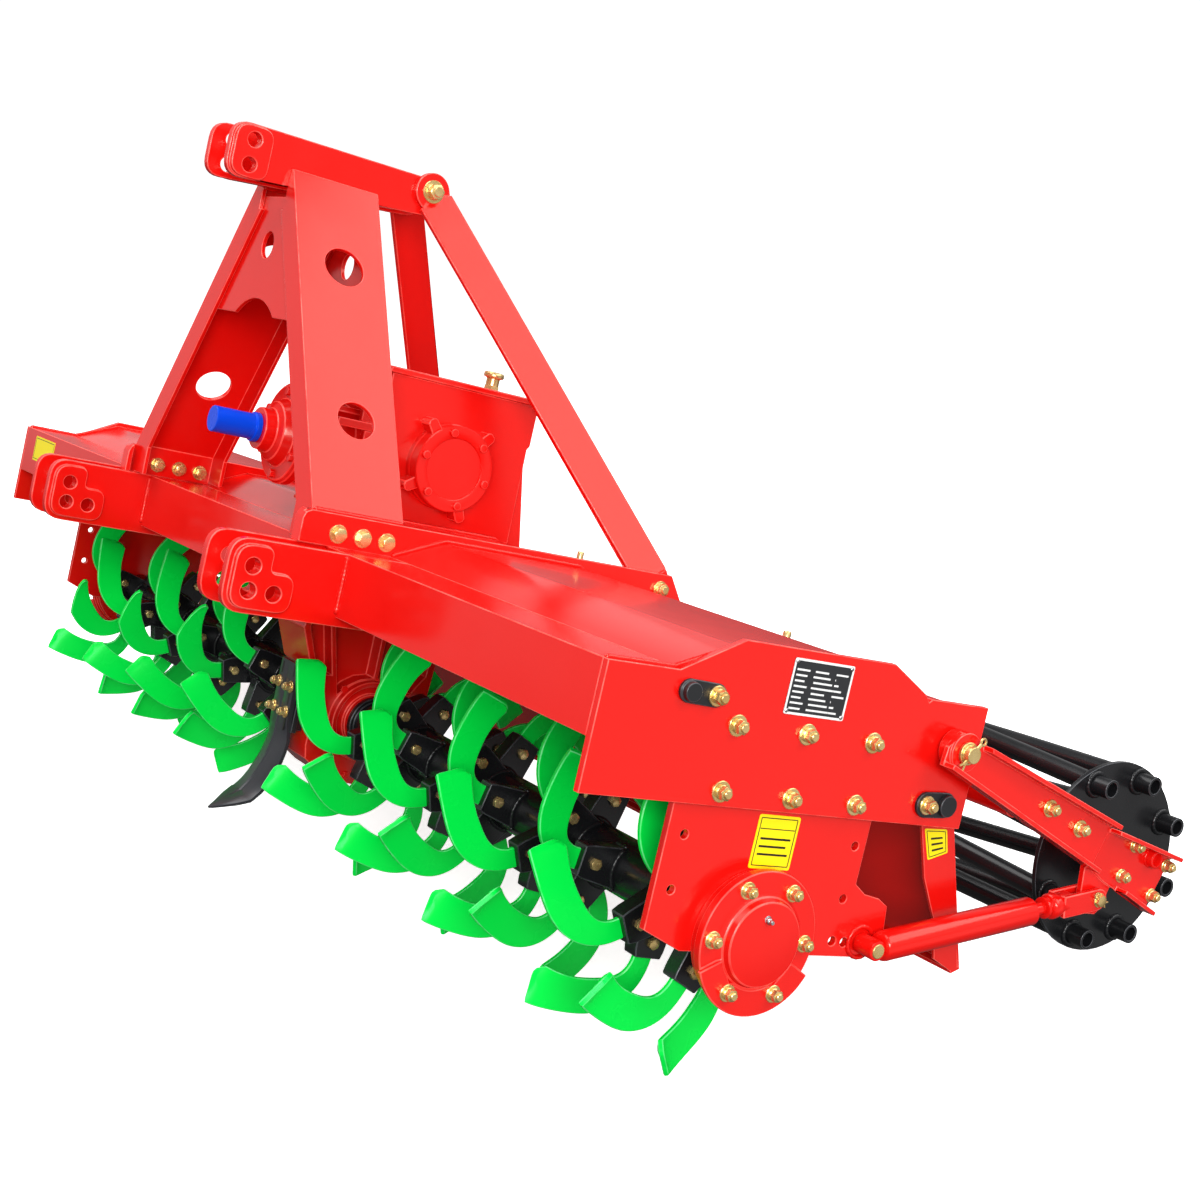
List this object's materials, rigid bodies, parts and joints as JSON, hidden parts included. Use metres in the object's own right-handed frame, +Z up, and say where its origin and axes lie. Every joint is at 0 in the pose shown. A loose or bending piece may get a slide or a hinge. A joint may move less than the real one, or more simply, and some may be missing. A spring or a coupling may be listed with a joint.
{
  "type": "rotavator with cage roller",
  "caption": "Three-point rotavator: hooded rotor of sickle blades with central gear drive, A-frame hitch mast, hinged tailboard and a spiral cage roller on strut-held arms.",
  "frame": {"origin": "on the ground, under the middle of the parked machine's box", "axes": "+Z up, +X to the machine's left across its width, -Y forward to the tractor"},
  "size_m": [2.6, 1.3464, 1.3563],
  "materials": {
    "red_paint": "gloss enamel paint",
    "green_paint": "gloss enamel paint",
    "black_paint": "satin paint",
    "dark_steel": "forged, dark oxide",
    "zinc_plate": "yellow passivated zinc",
    "blue_plastic": "moulded cap"
  },
  "bodies": {
    "frame": {"front_beam": "red_paint", "hood": "red_paint", "rear_beam": "red_paint", "end_plate_left": "red_paint", "end_plate_right": "red_paint", "bearing_plate_left": "red_paint", "bearing_plate_right": "red_paint", "bearing_cover_left": "red_paint", "bearing_cover_right": "red_paint", "lower_hitch_left": "red_paint", "lower_hitch_right": "red_paint", "base_rail_left": "red_paint", "base_rail_right": "red_paint", "mast_leg_left": "red_paint", "mast_leg_right": "red_paint", "mast_plates": "red_paint", "top_hitch": "red_paint", "brace_left": "red_paint", "brace_right": "red_paint", "gearbox_housing": "red_paint", "gearbox_side_covers": "red_paint", "pto_carrier": "red_paint", "drop_case": "red_paint", "tine_holder": "black_paint", "centre_tine": "dark_steel", "hinge_rod": "black_paint", "keepers": "black_paint", "pivot_pins": "zinc_plate", "strut_pins": "zinc_plate"},
    "rotor": {"rotor_left": "black_paint", "rotor_right": "black_paint", "blades_left": "green_paint", "blades_right": "green_paint"},
    "pto": {"pto_shaft": "blue_plastic"},
    "roller_arms": {"arm_left": "red_paint", "arm_right": "red_paint", "bracket_left": "red_paint", "bracket_right": "red_paint", "arm_cross_tube": "red_paint"},
    "roller": {"roller_bars": "black_paint", "roller_discs": "black_paint"},
    "tailboard": {"tailboard": "red_paint"},
    "strut_barrel_left": {"strut_barrel_left": "red_paint"},
    "strut_rod_left": {"strut_rod_left": "red_paint"},
    "strut_barrel_right": {"strut_barrel_right": "red_paint"},
    "strut_rod_right": {"strut_rod_right": "red_paint"}
  },
  "joints": [
    {"name": "rotor_spin", "type": "hinge", "parent": "frame", "child": "rotor", "pos_m": [0, -0.2466, 0.25524], "axis": [1, 0, 0], "continuous": true},
    {"name": "pto_spin", "type": "hinge", "parent": "frame", "child": "pto", "pos_m": [0, -0.39853, 0.82736], "axis": [0, -0.9519, 0.3066], "continuous": true},
    {"name": "roller_lift", "type": "hinge", "parent": "frame", "child": "roller_arms", "pos_m": [0, 0.11797, 0.44775], "axis": [1, 0, 0], "range_deg": [-4, 14]},
    {"name": "roller_spin", "type": "hinge", "parent": "roller_arms", "child": "roller", "pos_m": [0, 0.51527, 0.158], "axis": [1, 0, 0], "continuous": true},
    {"name": "tailboard_swing", "type": "hinge", "parent": "frame", "child": "tailboard", "pos_m": [0, 0.10524, 0.36255], "axis": [1, 0, 0], "range_deg": [0, 25]},
    {"name": "strut_pivot_left", "type": "hinge", "parent": "frame", "child": "strut_barrel_left", "pos_m": [1.265, -0.04223, 0.18522], "axis": [1, 0, 0], "range_deg": [-3.24, 10.09]},
    {"name": "strut_slide_left", "type": "slide", "parent": "strut_barrel_left", "child": "strut_rod_left", "axis": [0, 0.9956, -0.094], "range_m": [-0.0215, 0.0685]},
    {"name": "strut_pivot_right", "type": "hinge", "parent": "frame", "child": "strut_barrel_right", "pos_m": [-1.265, -0.04223, 0.18522], "axis": [1, 0, 0], "range_deg": [-3.24, 10.09]},
    {"name": "strut_slide_right", "type": "slide", "parent": "strut_barrel_right", "child": "strut_rod_right", "axis": [0, 0.9956, -0.094], "range_m": [-0.0215, 0.0685]}
  ],
  "couplings": [
    {"joint": "pto_spin", "follows": "rotor_spin", "ratio": 2.45},
    {"joint": "strut_pivot_left", "follows": "roller_lift", "ratio": 0.685},
    {"joint": "strut_slide_left", "follows": "roller_lift", "m_per_rad": 0.265},
    {"joint": "strut_pivot_right", "follows": "roller_lift", "ratio": 0.685},
    {"joint": "strut_slide_right", "follows": "roller_lift", "m_per_rad": 0.265}
  ]
}
